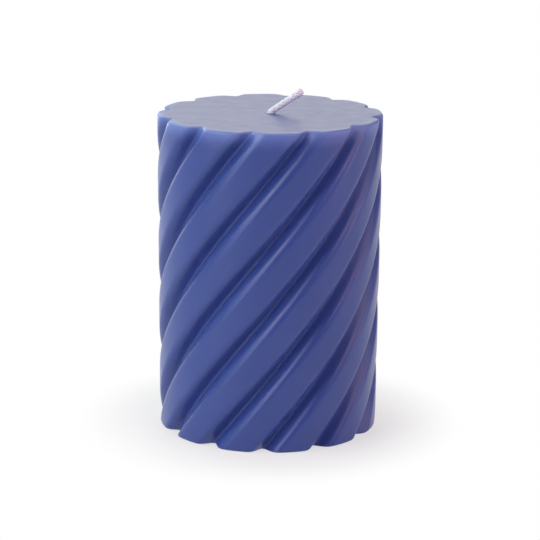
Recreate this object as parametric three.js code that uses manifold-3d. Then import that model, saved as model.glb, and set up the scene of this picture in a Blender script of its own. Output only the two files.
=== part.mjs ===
// Twisted pillar candle, in millimetres, +Z up, standing on z = 0 with its wick on the Z axis.
// It comes apart into three pieces: a cast wax body with helical strands, a braided wick, and
// the tinplate sustainer that grips the wick's lower end in a recess of the base.
import * as THREE from "three";
import { mergeVertices } from "three/addons/utils/BufferGeometryUtils.js";
import Module from "manifold-3d";

// Wax body
const BODY_HEIGHT = 100;
const BODY_RADIUS = 35; // over the crests of the strands, at half height
const MOULD_TAPER = 0.5; // the crest radius grows by this much from the base to the top
const STRAND_COUNT = 12;
const STRAND_TWIST_DEG = 143.5; // how far a strand turns from base to top, anticlockwise from above
const FIRST_GROOVE_DEG = 27.2; // direction of one groove's bottom at the base, from +X
const GROOVE_DEPTH = 3.8;
const GROOVE_TIGHTNESS = 4.8; // 1 is a plain wave, more gives narrow grooves and broad crests
const STRAND_LEAN = -0.12; // 0 is symmetric, below 0 a groove's clockwise flank is the steeper
const TOP_EDGE_RADIUS = 0.8;
const BASE_EDGE_RADIUS = 0.8;

// Wick, upright in the wax and bent over where it leaves it
const WICK_DIAMETER = 2.2;
const WICK_CLEARANCE = 0.3; // between the wick and its bore in the wax
const WICK_BEND_RADIUS = 1.8;
const WICK_LEAN_DEG = 54.6; // of the free end, from upright
const WICK_HEADING_DEG = -18; // direction in which the free end leans, from +X
const WICK_FREE_LENGTH = 13.1; // along the wick, from the start of its bend to its cut end
const WICK_TIP_SPREAD = 0.3; // how much wider the braid is at its cut end
const WICK_FLARE_LENGTH = 4; // how far back from the cut end the spread starts

// Dish round the wick, where the sealing wax sank as it set
const DISH_DEPTH = 0.8;
const DISH_SLOPE_WIDTH = 2.6;

// Wick sustainer: a thin disc drawn up into a neck, which is crimped round the wick
const SUSTAINER_RADIUS = 10;
const SUSTAINER_SHEET = 0.3;
const NECK_HEIGHT = 7; // above the disc
const NECK_FILLET = 0.8;
const NECK_CLEARANCE = 0.4; // between the neck and the wick
const CRIMP_CLEARANCE = 0.15; // the same at the crimp, in the middle of the neck
const CRIMP_LENGTH = 2.4;
const BASE_SETBACK = 0.5; // height of the disc's underside over the base
const RECESS_CLEARANCE = 0.3; // between the sustainer and the wax

// Fineness of the facets
const POINTS_PER_STRAND = 14;
const POINT_CROWDING = 0.45; // 0 spaces a strand's points evenly, more crowds them into the groove
const BODY_RING_SPACING = 4.5;
const EDGE_STEPS = 3;
const WICK_SIDES = 12;
const WICK_RING_SPACING = 8;
const BEND_STEPS = 6;
const FILLET_STEPS = 3;
const ROUND_SEGMENTS = 32;
const CUT_MARGIN = 1; // how far a cutter runs past the face that it opens

const FULL_TURN = 2 * Math.PI;
const RIGHT_ANGLE = Math.PI / 2;

// Sizes that follow from the ones above
const wickRadius = WICK_DIAMETER / 2;
const boreRadius = wickRadius + WICK_CLEARANCE;
const dishFloor = BODY_HEIGHT - DISH_DEPTH;
const neckInnerRadius = wickRadius + NECK_CLEARANCE;
const crimpInnerRadius = wickRadius + CRIMP_CLEARANCE;
const discTop = BASE_SETBACK + SUSTAINER_SHEET;
const neckTop = discTop + NECK_HEIGHT;

const { Manifold, Mesh } = await loadSolids();

async function loadSolids() {
  const wasm = await Module();
  wasm.setup();
  return wasm;
}

const radians = (degrees) => THREE.MathUtils.degToRad(degrees);

// Whole number of even steps, each about as long as spacing, that cover a length.
const stepsOver = (length, spacing) => Math.max(1, Math.round(length / spacing));

// Depth of the surface under the crests, at an angle measured from a groove's bottom.
function grooveDepth(angle) {
  const wave = STRAND_COUNT * angle;
  const leaning = wave + STRAND_LEAN * (1 - Math.cos(wave));
  return GROOVE_DEPTH * ((1 + Math.cos(leaning)) / 2) ** GROOVE_TIGHTNESS;
}

// One closed section of the wax body. The inset draws it in where an edge is rounded.
function bodySection(z, inset) {
  const climb = z / BODY_HEIGHT;
  const crest = BODY_RADIUS + MOULD_TAPER * (climb - 1 / 2);
  const turn = radians(FIRST_GROOVE_DEG + STRAND_TWIST_DEG * climb);
  const count = STRAND_COUNT * POINTS_PER_STRAND;
  return Array.from({ length: count }, (_, i) => {
    const even = (i * FULL_TURN) / count;
    const angle = even - (POINT_CROWDING * Math.sin(STRAND_COUNT * even)) / STRAND_COUNT;
    const radius = crest - inset - grooveDepth(angle);
    const heading = angle + turn;
    return new THREE.Vector3(radius * Math.cos(heading), radius * Math.sin(heading), z);
  });
}

// Heights and insets of the sections, up the rounded base edge, the side and the rounded top edge.
function bodyLevels() {
  const levels = [];
  for (let i = 0; i <= EDGE_STEPS; i++) {
    const slope = (RIGHT_ANGLE * i) / EDGE_STEPS;
    levels.push([BASE_EDGE_RADIUS * (1 - Math.cos(slope)), BASE_EDGE_RADIUS * (1 - Math.sin(slope))]);
  }
  const side = BODY_HEIGHT - BASE_EDGE_RADIUS - TOP_EDGE_RADIUS;
  const steps = stepsOver(side, BODY_RING_SPACING);
  for (let i = 1; i < steps; i++) levels.push([BASE_EDGE_RADIUS + (side * i) / steps, 0]);
  for (let i = 0; i <= EDGE_STEPS; i++) {
    const slope = (RIGHT_ANGLE * i) / EDGE_STEPS;
    const rise = TOP_EDGE_RADIUS * Math.sin(slope);
    levels.push([BODY_HEIGHT - TOP_EDGE_RADIUS + rise, TOP_EDGE_RADIUS * (1 - Math.cos(slope))]);
  }
  return levels;
}

// Closed body through sections of equally many points, each anticlockwise seen from the last one.
// Every quad is split along its shorter diagonal, so that the facets run with a twist.
function loft(sections) {
  const sides = sections[0].length;
  const points = sections.flat();
  const faces = [];
  for (let row = 0; row + 1 < sections.length; row++) {
    for (let i = 0; i < sides; i++) {
      const a = row * sides + i;
      const b = row * sides + ((i + 1) % sides);
      const c = b + sides;
      const d = a + sides;
      const splitAC = points[a].distanceToSquared(points[c]) < points[b].distanceToSquared(points[d]);
      if (splitAC) faces.push(a, b, c, a, c, d);
      else faces.push(a, b, d, b, c, d);
    }
  }
  const lastRow = (sections.length - 1) * sides;
  const startMiddle = points.push(middleOf(sections[0])) - 1;
  const endMiddle = points.push(middleOf(sections.at(-1))) - 1;
  for (let i = 0; i < sides; i++) {
    const next = (i + 1) % sides;
    faces.push(startMiddle, next, i, endMiddle, lastRow + i, lastRow + next);
  }
  return new THREE.BufferGeometry().setFromPoints(points).setIndex(faces);
}

const middleOf = (points) =>
  points.reduce((sum, p) => sum.add(p), new THREE.Vector3()).divideScalar(points.length);

// Body of revolution about the Z axis from [radius, height] pairs.
function revolve(outline) {
  const points = outline.map(([radius, height]) => new THREE.Vector2(radius, height));
  return new THREE.LatheGeometry(points, ROUND_SEGMENTS).rotateX(RIGHT_ANGLE);
}

// Closed geometry as a solid that can be cut.
function solid(geometry) {
  const bare = geometry.clone();
  bare.deleteAttribute("normal");
  bare.deleteAttribute("uv");
  const merged = mergeVertices(bare);
  const vertProperties = merged.attributes.position.array;
  const triVerts = new Uint32Array(merged.index.array);
  return new Manifold(new Mesh({ numProp: 3, vertProperties, triVerts }));
}

function geometryOf(cutSolid) {
  const { vertProperties, triVerts } = cutSolid.getMesh();
  const geometry = new THREE.BufferGeometry();
  geometry.setAttribute("position", new THREE.BufferAttribute(vertProperties, 3));
  geometry.setIndex(new THREE.BufferAttribute(triVerts, 1));
  return geometry;
}

// Space in the wax for the sustainer, its neck and the wick, flaring into the dish at the top.
function wickSpace() {
  const ceiling = discTop + RECESS_CLEARANCE;
  const recessRadius = SUSTAINER_RADIUS + RECESS_CLEARANCE;
  const neckRadius = neckInnerRadius + SUSTAINER_SHEET + RECESS_CLEARANCE;
  const neckCeiling = neckTop + RECESS_CLEARANCE;
  const dishRadius = boreRadius + DISH_SLOPE_WIDTH;
  return revolve([
    [0, -CUT_MARGIN],
    [recessRadius, -CUT_MARGIN],
    [recessRadius, ceiling],
    [neckRadius + NECK_FILLET, ceiling],
    [neckRadius, ceiling + NECK_FILLET],
    [neckRadius, neckCeiling],
    [boreRadius, neckCeiling],
    [boreRadius, dishFloor],
    [dishRadius, BODY_HEIGHT],
    [dishRadius, BODY_HEIGHT + CUT_MARGIN],
    [0, BODY_HEIGHT + CUT_MARGIN],
  ]);
}

function waxBody() {
  const pillar = loft(bodyLevels().map(([z, inset]) => bodySection(z, inset)));
  return geometryOf(solid(pillar).subtract(solid(wickSpace())));
}

// Places along the wick's middle line: distance out along the lean, height, lean from upright
// and the wick's radius there.
function wickStations() {
  const foot = BASE_SETBACK;
  const lean = radians(WICK_LEAN_DEG);
  const stations = [];
  const steps = stepsOver(dishFloor - foot, WICK_RING_SPACING);
  for (let i = 0; i < steps; i++) {
    stations.push([0, foot + ((dishFloor - foot) * i) / steps, 0, wickRadius]);
  }
  for (let i = 0; i <= BEND_STEPS; i++) {
    const bent = (lean * i) / BEND_STEPS;
    const out = WICK_BEND_RADIUS * (1 - Math.cos(bent));
    stations.push([out, dishFloor + WICK_BEND_RADIUS * Math.sin(bent), bent, wickRadius]);
  }
  const [bendOut, bendHeight] = stations.at(-1);
  const straight = WICK_FREE_LENGTH - WICK_BEND_RADIUS * lean;
  const pastBend = (along, radius) => {
    stations.push([bendOut + along * Math.sin(lean), bendHeight + along * Math.cos(lean), lean, radius]);
  };
  if (straight > WICK_FLARE_LENGTH) pastBend(straight - WICK_FLARE_LENGTH, wickRadius);
  pastBend(straight, wickRadius + WICK_TIP_SPREAD / 2);
  return stations;
}

// Round section square to the wick's middle line.
function wickSection([out, height, lean, radius]) {
  const heading = radians(WICK_HEADING_DEG);
  const outward = new THREE.Vector3(Math.cos(heading), Math.sin(heading), 0);
  const across = new THREE.Vector3(-Math.sin(heading), Math.cos(heading), 0);
  const middle = outward.clone().multiplyScalar(out).setZ(height);
  const inLean = outward.multiplyScalar(Math.cos(lean)).setZ(-Math.sin(lean));
  return Array.from({ length: WICK_SIDES }, (_, i) => {
    const angle = (i * FULL_TURN) / WICK_SIDES;
    return middle
      .clone()
      .addScaledVector(inLean, radius * Math.cos(angle))
      .addScaledVector(across, radius * Math.sin(angle));
  });
}

const wick = () => loft(wickStations().map(wickSection));

// Outline of the sustainer: out under the disc, up over its fillet and neck, and down inside.
function sustainerOutline() {
  const neckOuterRadius = neckInnerRadius + SUSTAINER_SHEET;
  const crimpOuterRadius = crimpInnerRadius + SUSTAINER_SHEET;
  const crimpMiddle = discTop + NECK_HEIGHT / 2;
  const crimpTop = crimpMiddle + CRIMP_LENGTH / 2;
  const crimpFoot = crimpMiddle - CRIMP_LENGTH / 2;
  const fillet = [];
  for (let i = 0; i <= FILLET_STEPS; i++) {
    const slope = (RIGHT_ANGLE * i) / FILLET_STEPS;
    const radius = neckOuterRadius + NECK_FILLET * (1 - Math.sin(slope));
    fillet.push([radius, discTop + NECK_FILLET * (1 - Math.cos(slope))]);
  }
  return [
    [neckInnerRadius, BASE_SETBACK],
    [SUSTAINER_RADIUS, BASE_SETBACK],
    [SUSTAINER_RADIUS, discTop],
    ...fillet,
    [neckOuterRadius, crimpFoot],
    [crimpOuterRadius, crimpMiddle],
    [neckOuterRadius, crimpTop],
    [neckOuterRadius, neckTop],
    [neckInnerRadius, neckTop],
    [neckInnerRadius, crimpTop],
    [crimpInnerRadius, crimpMiddle],
    [neckInnerRadius, crimpFoot],
    [neckInnerRadius, BASE_SETBACK],
  ];
}

const wickSustainer = () => geometryOf(solid(revolve(sustainerOutline())));

function piece(name, geometry, finish) {
  geometry.computeVertexNormals();
  const mesh = new THREE.Mesh(geometry, new THREE.MeshStandardMaterial(finish));
  mesh.name = name;
  return mesh;
}

const candle = new THREE.Group();
candle.add(
  piece("wax_body", waxBody(), { color: 0x46549c, roughness: 0.35, metalness: 0 }),
  piece("wick", wick(), { color: 0xe9e6e4, roughness: 0.9, metalness: 0 }),
  piece("wick_sustainer", wickSustainer(), { color: 0xb9bcc0, roughness: 0.35, metalness: 1 }),
);

export default candle;
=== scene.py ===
"""Looks of the twisted pillar candle, in metres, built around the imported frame."""
import math

import bpy
import numpy as np
from mathutils import Matrix, Vector, noise


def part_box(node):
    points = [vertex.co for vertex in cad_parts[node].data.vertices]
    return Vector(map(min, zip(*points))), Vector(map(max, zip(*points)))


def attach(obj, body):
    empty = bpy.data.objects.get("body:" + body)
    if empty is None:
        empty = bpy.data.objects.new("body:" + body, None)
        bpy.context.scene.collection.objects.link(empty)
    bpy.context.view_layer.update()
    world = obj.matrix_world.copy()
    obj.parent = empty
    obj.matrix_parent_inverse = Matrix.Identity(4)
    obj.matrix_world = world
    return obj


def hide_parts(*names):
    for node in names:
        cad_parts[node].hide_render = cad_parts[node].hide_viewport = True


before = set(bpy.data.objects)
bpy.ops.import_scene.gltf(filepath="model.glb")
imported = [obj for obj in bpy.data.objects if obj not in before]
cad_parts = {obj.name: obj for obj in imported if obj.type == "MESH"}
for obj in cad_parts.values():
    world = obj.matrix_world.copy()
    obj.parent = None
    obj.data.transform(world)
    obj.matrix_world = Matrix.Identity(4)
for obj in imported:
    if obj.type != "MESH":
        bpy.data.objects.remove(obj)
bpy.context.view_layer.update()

MM = 0.001
FULL_TURN = 2 * math.pi
RIGHT_ANGLE = math.pi / 2

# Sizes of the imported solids
wax_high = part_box("wax_body")[1]
disc_low, disc_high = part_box("wick_sustainer")
HEIGHT = wax_high[2]
DISC_RADIUS = disc_high[0]
DISC_UNDERSIDE = disc_low[2]
NECK_TOP = disc_high[2]

# Strands, as in the solid
MOULD_TAPER = 0.5 * MM
CREST_RADIUS = wax_high[0] - MOULD_TAPER / 2
STRAND_COUNT = 12
STRAND_TWIST = math.radians(143.5)
FIRST_GROOVE = math.radians(27.2)
GROOVE_DEPTH = 3.8 * MM
GROOVE_TIGHTNESS = 4.8
STRAND_LEAN = -0.12
TOP_EDGE = 0.8 * MM
BASE_EDGE = 0.8 * MM

# Wick, as in the solid, but for a shallower dish round it
WICK_RADIUS = 1.1 * MM
WICK_BEND_RADIUS = 1.8 * MM
WICK_LEAN = math.radians(54.6)
WICK_HEADING = math.radians(-18)
WICK_FREE_LENGTH = 13.1 * MM
WICK_TIP_SPREAD = 0.3 * MM
WICK_FLARE_LENGTH = 4 * MM
BEND_START_DEPTH = 0.8 * MM
DISH_DEPTH = 0.4 * MM
DISH_RADIUS = 4.0 * MM

# Camera of the photograph
CAMERA_DISTANCE = 0.6521
CAMERA_ELEVATION = math.radians(14.66)
CAMERA_AIM = Vector((0.00033, 0, 0.04932))
CAMERA_ROLL = math.radians(0.501)
CAMERA_LENS = 136.85
CAMERA_SENSOR = 36
CAMERA_NEAREST = 0.01


def add_camera():
    """Stands the camera in front of the candle, looking down on it a little."""
    data = bpy.data.cameras.new("camera")
    data.lens = CAMERA_LENS
    data.sensor_width = CAMERA_SENSOR
    data.clip_start = CAMERA_NEAREST
    camera = bpy.data.objects.new("camera", data)
    bpy.context.collection.objects.link(camera)
    forward = Vector((0, math.cos(CAMERA_ELEVATION), -math.sin(CAMERA_ELEVATION)))
    level_right = Vector((1, 0, 0))
    level_up = level_right.cross(forward)
    right = level_right * math.cos(CAMERA_ROLL) + level_up * math.sin(CAMERA_ROLL)
    up = level_up * math.cos(CAMERA_ROLL) - level_right * math.sin(CAMERA_ROLL)
    turn = Matrix((right, up, -forward)).transposed().to_4x4()
    camera.matrix_world = Matrix.Translation(CAMERA_AIM - forward * CAMERA_DISTANCE) @ turn
    bpy.context.scene.camera = camera


# Meshes
def make_object(name, points, faces, smooth=True):
    """Mesh object from an array of points and a list of faces."""
    mesh = bpy.data.meshes.new(name)
    mesh.from_pydata([tuple(p) for p in points], [], [tuple(f) for f in faces])
    mesh.validate()
    mesh.polygons.foreach_set("use_smooth", [smooth] * len(mesh.polygons))
    mesh.update()
    made = bpy.data.objects.new(name, mesh)
    bpy.context.collection.objects.link(made)
    return made


def grid_faces(rows, sides, closed=False):
    """Quads between rings of sides points. A closed grid also joins its last ring to its first."""
    row = np.arange(rows if closed else rows - 1)[:, None]
    side = np.arange(sides)[None, :]
    above = (row + 1) % rows
    beside = (side + 1) % sides
    quads = [row * sides + side, row * sides + beside, above * sides + beside, above * sides + side]
    return np.stack(np.broadcast_arrays(*quads), axis=-1).reshape(-1, 4)


def smoothstep(low, high, value):
    """0 below low, 1 above high, and a smooth climb between them."""
    t = np.clip((value - low) / (high - low), 0, 1)
    return t * t * (3 - 2 * t)


def reach_of(points):
    """Distance of each point from the wick's upright axis."""
    return np.hypot(points[..., 0], points[..., 1])


def waver(points, size, seed):
    """Smooth noise from -1 to 1 at each point, with bumps about that size apart."""
    shift = Vector((seed, seed, seed))
    return np.array([noise.noise(Vector(p) / size + shift) for p in points])


# Wax body
POINTS_PER_STRAND = 36
RING_POINTS = STRAND_COUNT * POINTS_PER_STRAND
SIDE_RING_SPACING = 0.8 * MM
EDGE_STEPS = 7
TOP_STEPS = 34
BORE_STEPS = 24
BASE_STEPS = 12
BOX_MARGIN = 0.03 * MM

# The grooves are shallower where they run out over the rim
RIM_FILL = 0.8 * MM
RIM_FILL_DEPTH = 5 * MM

# The wax grips the wick and creeps up it, and leaves room for the sustainer
BORE_RADIUS = 0.98 * WICK_RADIUS
NECK_BORE_RADIUS = 2 * MM
DISC_SHEET = 0.3 * MM
RECESS_GAP = 0.06 * MM
RECESS_BEVEL = 0.15 * MM
CREEP_HEIGHT = 0.35 * MM
CREEP_WIDTH = 0.35 * MM

# Unevenness of the cast surfaces
SIDE_WAVER = 0.05 * MM
SIDE_WAVER_SIZE = 14 * MM
SIDE_WAVER_SEED = 3.1
SIDE_WAVER_FROM = 25 * MM
SIDE_WAVER_BY = 30 * MM
TOP_WAVER = 0.02 * MM
TOP_WAVER_SIZE = 9 * MM
TOP_WAVER_SEED = 7.7
TOP_WAVER_FROM_DEPTH = 0.9 * MM
TOP_WAVER_BY_DEPTH = 0.6 * MM


def groove_depth(angle, z):
    """Depth under the crests at an angle from one groove's bottom."""
    wave = STRAND_COUNT * angle
    leaning = wave + STRAND_LEAN * (1 - np.cos(wave))
    depth = GROOVE_DEPTH - RIM_FILL * smoothstep(HEIGHT - RIM_FILL_DEPTH, HEIGHT, z)
    return depth * ((1 + np.cos(leaning)) / 2) ** GROOVE_TIGHTNESS


def ring(radius, z, climb):
    """Ring whose points line up with the strands' points at that share of the height."""
    heading = np.arange(RING_POINTS) * FULL_TURN / RING_POINTS + FIRST_GROOVE + STRAND_TWIST * climb
    return np.stack([radius * np.cos(heading), radius * np.sin(heading), np.full(RING_POINTS, z)], axis=-1)


def strand_ring(z, inset):
    """Section of the strands at a height, drawn in by inset."""
    angle = np.arange(RING_POINTS) * FULL_TURN / RING_POINTS
    climb = z / HEIGHT
    radius = CREST_RADIUS + MOULD_TAPER * (climb - 0.5) - groove_depth(angle, z) - inset
    return ring(radius, z, climb)


def side_rings():
    """Rings up the rounded base edge, the strands and the rounded top edge."""
    slopes = np.linspace(0, RIGHT_ANGLE, EDGE_STEPS)
    levels = [(BASE_EDGE * (1 - math.cos(t)), BASE_EDGE * (1 - math.sin(t))) for t in slopes]
    steps = round((HEIGHT - BASE_EDGE - TOP_EDGE) / SIDE_RING_SPACING)
    heights = np.linspace(BASE_EDGE, HEIGHT - TOP_EDGE, steps + 1)
    levels += [(z, 0) for z in heights[1:-1]]
    levels += [(HEIGHT - TOP_EDGE * (1 - math.sin(t)), TOP_EDGE * (1 - math.cos(t))) for t in slopes]
    return [strand_ring(z, inset + BOX_MARGIN) for z, inset in levels]


def rings_between(first, last, steps):
    """Rings across a flat face, from the one after the first to the last."""
    shares = np.linspace(0, 1, steps + 1)[1:]
    return [first * (1 - s) + last * s for s in shares]


def top_rings(rim):
    """Rings across the top face, with its dish and the wax that creeps up the wick."""
    rings = rings_between(rim, ring(BORE_RADIUS, HEIGHT, 1), TOP_STEPS)
    for across in rings:
        reach = reach_of(across)
        dish = DISH_DEPTH * (1 - smoothstep(WICK_RADIUS, DISH_RADIUS, reach))
        creep = CREEP_HEIGHT * np.exp(-((reach - WICK_RADIUS) / CREEP_WIDTH) ** 2)
        across[:, 2] -= dish - creep
    return rings


def bore_rings(top, foot):
    """Rings down the wick's bore, which widens round the sustainer's neck."""
    rings = []
    for share in np.linspace(0, 1, BORE_STEPS + 2)[1:-1]:
        climb = 1 - share
        z = foot + (top - foot) * climb
        rings.append(ring(BORE_RADIUS if z > NECK_TOP else NECK_BORE_RADIUS, z, climb))
    return rings


def base_rings(ceiling, rim):
    """Rings from the ceiling of the sustainer's recess down and out to the rim of the base."""
    wall = DISC_RADIUS + RECESS_GAP
    rings = [ring(NECK_BORE_RADIUS, ceiling, 0), ring(wall, ceiling, 0), ring(wall, RECESS_BEVEL, 0)]
    rings.append(ring(wall + RECESS_BEVEL, 0, 0))
    return rings + rings_between(rings[-1], rim, BASE_STEPS)[:-1]


def make_uneven(points):
    """Sinks the sides and the top by a slow waver. Nothing moves out of the solid's box."""
    reach = reach_of(points)
    outward = points[:, :2] / reach[:, None]
    on_side = smoothstep(SIDE_WAVER_FROM, SIDE_WAVER_BY, reach)
    sink = (waver(points, SIDE_WAVER_SIZE, SIDE_WAVER_SEED) - 1) / 2
    points[:, :2] += outward * (on_side * SIDE_WAVER * sink)[:, None]
    on_top = smoothstep(HEIGHT - TOP_WAVER_FROM_DEPTH, HEIGHT - TOP_WAVER_BY_DEPTH, points[:, 2])
    points[:, 2] += on_top * TOP_WAVER * (waver(points, TOP_WAVER_SIZE, TOP_WAVER_SEED) - 1) / 2


def build_wax():
    side = side_rings()
    top = top_rings(side[-1])
    ceiling = DISC_UNDERSIDE + DISC_SHEET + RECESS_GAP
    bore = bore_rings(top[-1][0, 2], ceiling)
    rings = np.array(side + top + bore + base_rings(ceiling, side[0]))
    points = rings.reshape(-1, 3)
    make_uneven(points)
    wax = make_object("wax_pillar", points, grid_faces(len(rings), RING_POINTS, closed=True))
    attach(wax, "root")
    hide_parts("wax_body")
    return wax


# Wick
YARNS_EACH_WAY = 4
YARN_SIDES = 8
YARN_STEP = 0.3 * MM
BRAID_PITCH = 7.2 * MM
YARN_HALF_WIDTH = 0.46 * MM
YARN_HALF_THICKNESS = 0.22 * MM
WEAVE_RISE = 0.05 * MM
CORE_RADIUS = 0.9 * MM
CORE_STEP = 3 * YARN_STEP
CORE_SIDES = 16
TUFT_RADIUS = 1.05 * MM
TUFT_HEIGHT = 0.4 * MM
TUFT_STEPS = 5


def wick_path(step):
    """Length from the foot, the middle line, and the directions to the bend's inside and across it."""
    bend_start = HEIGHT - BEND_START_DEPTH
    upright = bend_start - DISC_UNDERSIDE
    bend = WICK_BEND_RADIUS * WICK_LEAN
    total = upright + WICK_FREE_LENGTH
    along = np.linspace(0, total, round(total / step) + 1)
    lean = np.clip((along - upright) / bend, 0, 1) * WICK_LEAN
    past = np.maximum(along - upright - bend, 0)
    out = WICK_BEND_RADIUS * (1 - np.cos(lean)) + past * math.sin(WICK_LEAN)
    bent_rise = WICK_BEND_RADIUS * np.sin(lean) + past * math.cos(WICK_LEAN)
    height = DISC_UNDERSIDE + np.minimum(along, upright) + bent_rise
    outward = np.array([math.cos(WICK_HEADING), math.sin(WICK_HEADING), 0])
    across = np.array([-math.sin(WICK_HEADING), math.cos(WICK_HEADING), 0])
    up = np.array([0, 0, 1])
    middle = out[:, None] * outward + height[:, None] * up
    inner = np.cos(lean)[:, None] * outward - np.sin(lean)[:, None] * up
    return along, middle, inner, np.broadcast_to(across, middle.shape)


def spread_at(along):
    """How much wider the braid is there than along its length, in radius."""
    past = along - along[-1] + WICK_FLARE_LENGTH
    return WICK_TIP_SPREAD / 2 * np.maximum(past, 0) / WICK_FLARE_LENGTH


def unit(vectors):
    return vectors / np.linalg.norm(vectors, axis=-1, keepdims=True)


def tube(middle, first, second, half_first, half_second, sides):
    """Closed tube about a line, with elliptical sections in the two given directions."""
    angle = np.arange(sides) * FULL_TURN / sides
    offset_first = (half_first[:, None] * np.cos(angle))[..., None] * first[:, None, :]
    offset_second = (half_second[:, None] * np.sin(angle))[..., None] * second[:, None, :]
    points = (middle[:, None, :] + offset_first + offset_second).reshape(-1, 3)
    rows = len(middle)
    faces = [tuple(f) for f in grid_faces(rows, sides)]
    faces.append(tuple(reversed(range(sides))))
    faces.append(tuple(range((rows - 1) * sides, rows * sides)))
    return points, faces


def join(parts):
    """One point array and face list from several."""
    points = []
    faces = []
    start = 0
    for part_points, part_faces in parts:
        points.append(part_points)
        faces += [tuple(i + start for i in f) for f in part_faces]
        start += len(part_points)
    return np.concatenate(points), faces


def yarn(turn_sign, index):
    """One yarn of the braid, over and under the yarns that wind the other way."""
    along, middle, inner, across = wick_path(YARN_STEP)
    turned = FULL_TURN * along / BRAID_PITCH
    phase = turn_sign * turned + index * FULL_TURN / YARNS_EACH_WAY
    weave = turn_sign * np.cos(YARNS_EACH_WAY * turned)
    reach = WICK_RADIUS + spread_at(along) - YARN_HALF_THICKNESS - WEAVE_RISE + WEAVE_RISE * weave
    radial = np.cos(phase)[:, None] * inner + np.sin(phase)[:, None] * across
    # The yarns end a step short of the cut, because their own ends slant past it
    line = (middle + reach[:, None] * radial)[:-1]
    radial = radial[:-1]
    sideways = unit(np.cross(unit(np.gradient(line, axis=0)), radial))
    full = np.ones(len(line))
    return tube(line, radial, sideways, full * YARN_HALF_THICKNESS, full * YARN_HALF_WIDTH, YARN_SIDES)


def domed_core():
    """Core of the braid. Its cut end bulges out a little between the yarns."""
    along, middle, inner, across = wick_path(CORE_STEP)
    radius = CORE_RADIUS + spread_at(along)
    slopes = np.linspace(0, RIGHT_ANGLE, TUFT_STEPS + 2)[1:-1]
    rise = TUFT_HEIGHT * np.sin(slopes)
    forward = unit(middle[-1] - middle[-2])
    middle = np.concatenate([middle, middle[-1] + rise[:, None] * forward])
    radius = np.concatenate([radius[:-1], [TUFT_RADIUS], TUFT_RADIUS * np.cos(slopes)])
    inner = np.concatenate([inner, np.repeat(inner[-1:], TUFT_STEPS, axis=0)])
    across = np.concatenate([across, np.repeat(across[-1:], TUFT_STEPS, axis=0)])
    return tube(middle, inner, across, radius, radius, CORE_SIDES)


def build_wick():
    yarns = [yarn(sign, i) for sign in (1, -1) for i in range(YARNS_EACH_WAY)]
    points, faces = join([domed_core()] + yarns)
    wick = make_object("braided_wick", points, faces)
    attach(wick, "root")
    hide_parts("wick")
    return wick


# Shader nodes. A noise is given by its bumps to the metre and its detail
COMMON_NOISE = (0.3, 0.7)


def new_material(name):
    """Material with its node tree and the shader in it."""
    made = bpy.data.materials.new(name)
    made.use_nodes = True
    return made, made.node_tree, made.node_tree.nodes["Principled BSDF"]


def object_coords(tree):
    return tree.nodes.new("ShaderNodeTexCoord").outputs["Object"]


def noise_value(tree, coords, scale, detail):
    """Noise from 0 to 1, and mostly within COMMON_NOISE."""
    node = tree.nodes.new("ShaderNodeTexNoise")
    node.inputs["Scale"].default_value = scale
    node.inputs["Detail"].default_value = detail
    tree.links.new(coords, node.inputs["Vector"])
    return node.outputs["Fac"]


def map_range(tree, source, span, result, interpolation="LINEAR"):
    """Value that runs over result as the source runs over span, and stays there beyond it."""
    node = tree.nodes.new("ShaderNodeMapRange")
    node.interpolation_type = interpolation
    node.inputs["From Min"].default_value, node.inputs["From Max"].default_value = span
    node.inputs["To Min"].default_value, node.inputs["To Max"].default_value = result
    tree.links.new(source, node.inputs["Value"])
    return node.outputs["Result"]


def noise_colour(tree, source, low, high):
    """Colour that runs from low to high as the noise runs over its common range."""
    node = tree.nodes.new("ShaderNodeValToRGB")
    for stop, position, colour in zip(node.color_ramp.elements, COMMON_NOISE, (low, high)):
        stop.position = position
        stop.color = (*colour, 1)
    tree.links.new(source, node.inputs["Fac"])
    return node.outputs["Color"]


def add_bump(tree, shader, height, distance):
    node = tree.nodes.new("ShaderNodeBump")
    node.inputs["Distance"].default_value = distance
    node.inputs["Strength"].default_value = 1.0
    tree.links.new(height, node.inputs["Height"])
    tree.links.new(node.outputs["Normal"], shader.inputs["Normal"])


def combined(tree, operation, first, second):
    """Result of an operation such as MULTIPLY or MAXIMUM on two values."""
    node = tree.nodes.new("ShaderNodeMath")
    node.operation = operation
    tree.links.new(first, node.inputs[0])
    tree.links.new(second, node.inputs[1])
    return node.outputs["Value"]


def mixed(tree, share, first, colour):
    """The first colour with a share of a plain one."""
    node = tree.nodes.new("ShaderNodeMixRGB")
    node.inputs["Color2"].default_value = (*colour, 1)
    tree.links.new(share, node.inputs["Fac"])
    tree.links.new(first, node.inputs["Color1"])
    return node.outputs["Color"]


def mixed_shaders(tree, share, first, second):
    node = tree.nodes.new("ShaderNodeMixShader")
    tree.links.new(share, node.inputs["Fac"])
    tree.links.new(first, node.inputs[1])
    tree.links.new(second, node.inputs[2])
    return node.outputs["Shader"]


def part_of_vector(tree, vector, axis):
    node = tree.nodes.new("ShaderNodeSeparateXYZ")
    tree.links.new(vector, node.inputs["Vector"])
    return node.outputs[axis]


def length_of(tree, vector):
    node = tree.nodes.new("ShaderNodeVectorMath")
    node.operation = "LENGTH"
    tree.links.new(vector, node.inputs[0])
    return node.outputs["Value"]


def reach_from_axis(tree, coords):
    """Distance from the wick's upright axis."""
    flat = tree.nodes.new("ShaderNodeVectorMath")
    flat.operation = "MULTIPLY"
    flat.inputs[1].default_value = (1, 1, 0)
    tree.links.new(coords, flat.inputs[0])
    return length_of(tree, flat.outputs["Vector"])


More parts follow.
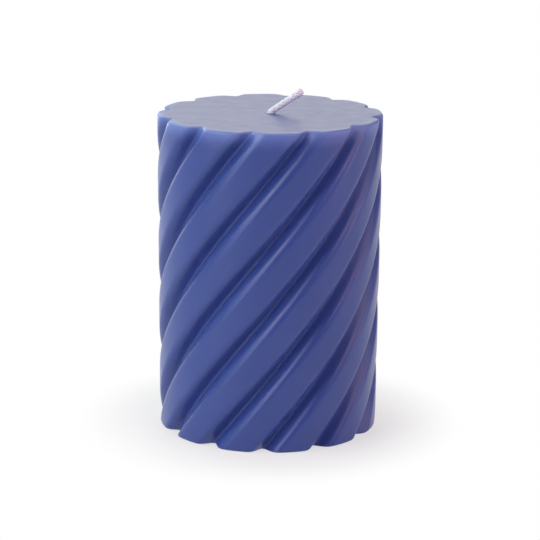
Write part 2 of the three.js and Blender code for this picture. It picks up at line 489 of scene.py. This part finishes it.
def seen_rays(tree):
    """1 for rays of the camera, of reflections and through glass, and 0 for the rest."""
    path = tree.nodes.new("ShaderNodeLightPath")
    reflected = combined(tree, "MAXIMUM", path.outputs["Is Camera Ray"], path.outputs["Is Glossy Ray"])
    return combined(tree, "MAXIMUM", reflected, path.outputs["Is Transmission Ray"])


# Wax. Its paler blue under the rim and over the top face's rim is painted glow, and the pale blue along the
# rounded top edge is a painted highlight
DEEP_BLUE = (0.047, 0.086, 0.305)
FAINTER_BLUE = (0.054, 0.094, 0.330)
# Painted glow: paler blue under the rim, standing in for light through the wax there
RIM_PAINTED_GLOW_BLUE = (0.155, 0.235, 0.57)
# Painted highlight: pale blue along the rounded top edge
EDGE_PAINTED_HIGHLIGHT_BLUE = (0.25, 0.31, 0.56)
# Painted glow: paler blue over the outer rim of the top face
FACE_RIM_PAINTED_GLOW_BLUE = (0.06, 0.14, 0.46)
RIM_GLOW_DEPTH = 6.5 * MM
FACE_RIM_FROM = CREST_RADIUS - 3 * MM
FACE_RIM_BY = CREST_RADIUS - 1 * MM
FACING_UP = (0.9, 0.995)
WAX_ROUGHNESS = (0.28, 0.36)
EDGE_ROUGHNESS = 0.62
EDGE_ROUGH_BY = 0.5
CLOUD_NOISE = (45, 3)
SMEAR_NOISE = (180, 4)
GRAIN_NOISE = (700, 4)
GRAIN_DEPTH = 0.014 * MM
WAX_IOR = 1.44
WAX_SUBSURFACE = 0.6
WAX_SCATTER_RADIUS = (0.35, 0.45, 1.0)
WAX_SCATTER_SCALE = 0.4 * MM


def rim_shares(tree, coords):
    """How much each point takes of the painted glow under the rim, of the painted highlight on the rounded
    edge and of the painted glow on the face's rim.
    """
    height = part_of_vector(tree, coords, "Z")
    upward = part_of_vector(tree, tree.nodes.new("ShaderNodeTexCoord").outputs["Normal"], "Z")
    off_face = map_range(tree, upward, FACING_UP, (1, 0))
    on_face = map_range(tree, upward, FACING_UP, (0, 1))
    rise = map_range(tree, height, (HEIGHT - RIM_GLOW_DEPTH, HEIGHT - TOP_EDGE), (0, 1))
    glow = combined(tree, "MULTIPLY", combined(tree, "MULTIPLY", rise, rise), off_face)
    over_edge = map_range(tree, height, (HEIGHT - TOP_EDGE, HEIGHT), (0, 1))
    edge = combined(tree, "MULTIPLY", over_edge, off_face)
    outer = map_range(tree, reach_from_axis(tree, coords), (FACE_RIM_FROM, FACE_RIM_BY), (0, 1))
    return glow, edge, combined(tree, "MULTIPLY", outer, on_face)


def wax_material():
    made, tree, shader = new_material("blue_wax")
    coords = object_coords(tree)
    glow, edge, face_rim = rim_shares(tree, coords)
    colour = noise_colour(tree, noise_value(tree, coords, *CLOUD_NOISE), DEEP_BLUE, FAINTER_BLUE)
    # Painted glow: paler blue under the rim
    colour = mixed(tree, glow, colour, RIM_PAINTED_GLOW_BLUE)
    # Painted glow: paler blue over the top face's outer rim
    colour = mixed(tree, face_rim, colour, FACE_RIM_PAINTED_GLOW_BLUE)
    # Painted highlight: pale blue along the rounded top edge
    colour = mixed(tree, edge, colour, EDGE_PAINTED_HIGHLIGHT_BLUE)
    tree.links.new(colour, shader.inputs["Base Color"])
    smear = map_range(tree, noise_value(tree, coords, *SMEAR_NOISE), COMMON_NOISE, WAX_ROUGHNESS)
    rubbed = map_range(tree, edge, (0, EDGE_ROUGH_BY), (0, EDGE_ROUGHNESS))
    tree.links.new(combined(tree, "MAXIMUM", smear, rubbed), shader.inputs["Roughness"])
    add_bump(tree, shader, noise_value(tree, coords, *GRAIN_NOISE), GRAIN_DEPTH)
    shader.inputs["IOR"].default_value = WAX_IOR
    shader.inputs["Subsurface Weight"].default_value = WAX_SUBSURFACE
    shader.inputs["Subsurface Radius"].default_value = WAX_SCATTER_RADIUS
    shader.inputs["Subsurface Scale"].default_value = WAX_SCATTER_SCALE
    return made


# Waxed cotton and tinplate
COTTON_WHITE = (0.90, 0.92, 0.95)
PALER_COTTON = (0.94, 0.96, 0.98)
COTTON_ROUGHNESS = (0.5, 0.7)
FLUFF_NOISE = (2500, 3)
FIBRE_NOISE = (6000, 2)
FIBRE_DEPTH = 0.005 * MM
TIN_GREY = (0.50, 0.51, 0.53)
PALER_TIN = (0.66, 0.67, 0.69)
TIN_ROUGHNESS = (0.22, 0.4)
BLOTCH_NOISE = (260, 3)
SCRATCH_NOISE = (3000, 2)
SCRATCH_DEPTH = 0.01 * MM


def wick_material():
    made, tree, shader = new_material("waxed_cotton")
    coords = object_coords(tree)
    fluff = noise_value(tree, coords, *FLUFF_NOISE)
    tree.links.new(noise_colour(tree, fluff, COTTON_WHITE, PALER_COTTON), shader.inputs["Base Color"])
    tree.links.new(map_range(tree, fluff, COMMON_NOISE, COTTON_ROUGHNESS), shader.inputs["Roughness"])
    add_bump(tree, shader, noise_value(tree, coords, *FIBRE_NOISE), FIBRE_DEPTH)
    return made


def tin_material():
    made, tree, shader = new_material("tinplate")
    coords = object_coords(tree)
    blotch = noise_value(tree, coords, *BLOTCH_NOISE)
    tree.links.new(noise_colour(tree, blotch, TIN_GREY, PALER_TIN), shader.inputs["Base Color"])
    tree.links.new(map_range(tree, blotch, COMMON_NOISE, TIN_ROUGHNESS), shader.inputs["Roughness"])
    add_bump(tree, shader, noise_value(tree, coords, *SCRATCH_NOISE), SCRATCH_DEPTH)
    shader.inputs["Metallic"].default_value = 1.0
    return made


def dress(piece, made):
    piece.data.materials.clear()
    piece.data.materials.append(made)


# Floor
FLOOR_RADIUS = 1.2
FLOOR_CAP_RADIUS = 0.001
FLOOR_RINGS = 24
FLOOR_SIDES = 96
FLOOR_GREY = 0.86
FLOOR_ROUGHNESS = 0.9
WHITE_FROM = 0.034
WHITE_BY = 0.065
WHITE_AT_CANDLE = 0.6


def floor_material():
    """Pale grey near the candle, where its shadow falls, and white light further out."""
    made, tree, shader = new_material("pale_floor")
    shader.inputs["Base Color"].default_value = (FLOOR_GREY, FLOOR_GREY, FLOOR_GREY, 1)
    shader.inputs["Roughness"].default_value = FLOOR_ROUGHNESS
    shader.inputs["Specular IOR Level"].default_value = 0.0
    distance = length_of(tree, object_coords(tree))
    fade = map_range(tree, distance, (WHITE_FROM, WHITE_BY), (WHITE_AT_CANDLE, 1), "SMOOTHSTEP")
    share = combined(tree, "MULTIPLY", fade, seen_rays(tree))
    white = tree.nodes.new("ShaderNodeEmission")
    white.inputs["Strength"].default_value = 1.0
    surface = mixed_shaders(tree, share, shader.outputs["BSDF"], white.outputs["Emission"])
    tree.links.new(surface, tree.nodes["Material Output"].inputs["Surface"])
    return made


def add_floor():
    """Round floor that turns into the white background away from the candle."""
    angle = np.arange(FLOOR_SIDES) * FULL_TURN / FLOOR_SIDES
    around = np.stack([np.cos(angle), np.sin(angle), np.zeros(FLOOR_SIDES)], axis=-1)
    reaches = np.linspace(FLOOR_CAP_RADIUS, FLOOR_RADIUS, FLOOR_RINGS)
    points = (reaches[:, None, None] * around).reshape(-1, 3)
    faces = [tuple(f) for f in grid_faces(FLOOR_RINGS, FLOOR_SIDES)]
    faces.append(tuple(reversed(range(FLOOR_SIDES))))
    floor = make_object("floor", points, faces, smooth=False)
    dress(floor, floor_material())


# World
WORLD_LIGHT = 0.005
FRONT_SHARE = 0.0
BACKDROP_SHARE = 0.53
BACKDROP_FROM = -0.2
BACKDROP_BY = 0.5


def add_world():
    """Dim even light all round. The camera sees white, and reflections a pale backdrop behind the candle."""
    world = bpy.data.worlds.new("studio")
    bpy.context.scene.world = world
    world.use_nodes = True
    tree = world.node_tree
    dim = tree.nodes["Background"]
    dim.inputs["Color"].default_value = (1, 1, 1, 1)
    dim.inputs["Strength"].default_value = WORLD_LIGHT
    white = tree.nodes.new("ShaderNodeBackground")
    white.inputs["Color"].default_value = (1, 1, 1, 1)
    away = part_of_vector(tree, tree.nodes.new("ShaderNodeTexCoord").outputs["Generated"], "Y")
    span = (BACKDROP_FROM, BACKDROP_BY)
    backdrop = map_range(tree, away, span, (FRONT_SHARE, BACKDROP_SHARE), "SMOOTHSTEP")
    path = tree.nodes.new("ShaderNodeLightPath")
    strength = combined(tree, "MAXIMUM", path.outputs["Is Camera Ray"], backdrop)
    tree.links.new(strength, white.inputs["Strength"])
    surface = mixed_shaders(tree, seen_rays(tree), dim.outputs["Background"], white.outputs["Background"])
    tree.links.new(surface, tree.nodes["World Output"].inputs["Surface"])


# Lamps
LAMP_DISTANCE = 1.0
LAMP_SIZE = 0.45
WIDE_LAMP_SIZE = 0.7


def add_lamp(name, side, rise, power, tint, size=LAMP_SIZE):
    """Soft square lamp. Side is in degrees from the camera's side, and rise in degrees above the level."""
    data = bpy.data.lights.new(name, "AREA")
    data.shape = "SQUARE"
    data.size = size
    data.energy = power
    data.color = tint
    lamp = bpy.data.objects.new(name, data)
    bpy.context.collection.objects.link(lamp)
    turn = math.radians(side)
    climb = math.radians(rise)
    away = Vector((math.sin(turn) * math.cos(climb), -math.cos(turn) * math.cos(climb), math.sin(climb)))
    lamp.location = Vector((0, 0, HEIGHT / 2)) + away * LAMP_DISTANCE
    lamp.rotation_euler = away.to_track_quat("Z", "Y").to_euler()


def add_lamps():
    add_lamp("back_left_lamp", -150, 8, 5.2, (0.9, 0.98, 1.0), WIDE_LAMP_SIZE)
    add_lamp("back_high_lamp", 180, 40, 2.4, (1.0, 0.97, 0.9))
    add_lamp("back_low_lamp", 180, 15, 0.4, (1.0, 0.96, 0.9))
    add_lamp("left_lamp", -84, 34, 3.1, (0.95, 1.0, 0.9))
    add_lamp("front_left_lamp", -56, 34, 2.2, (1.0, 0.95, 0.95))
    add_lamp("front_left_low_lamp", -50, 8, 3.1, (0.7, 0.75, 1.0))
    add_lamp("front_right_lamp", 28, 34, 2.05, (1.0, 0.72, 0.82))
    add_lamp("right_high_lamp", 56, 34, 1.5, (1.0, 0.84, 0.84))
    add_lamp("right_lamp", 75, 8, 2.5, (1.0, 0.67, 0.88))
    add_lamp("far_left_lamp", -140, 34, 1.4, (0.96, 1.0, 0.9))


add_camera()
bpy.context.scene.view_settings.view_transform = "Standard"
dress(build_wax(), wax_material())
dress(build_wick(), wick_material())
dress(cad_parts["wick_sustainer"], tin_material())
add_floor()
add_world()
add_lamps()
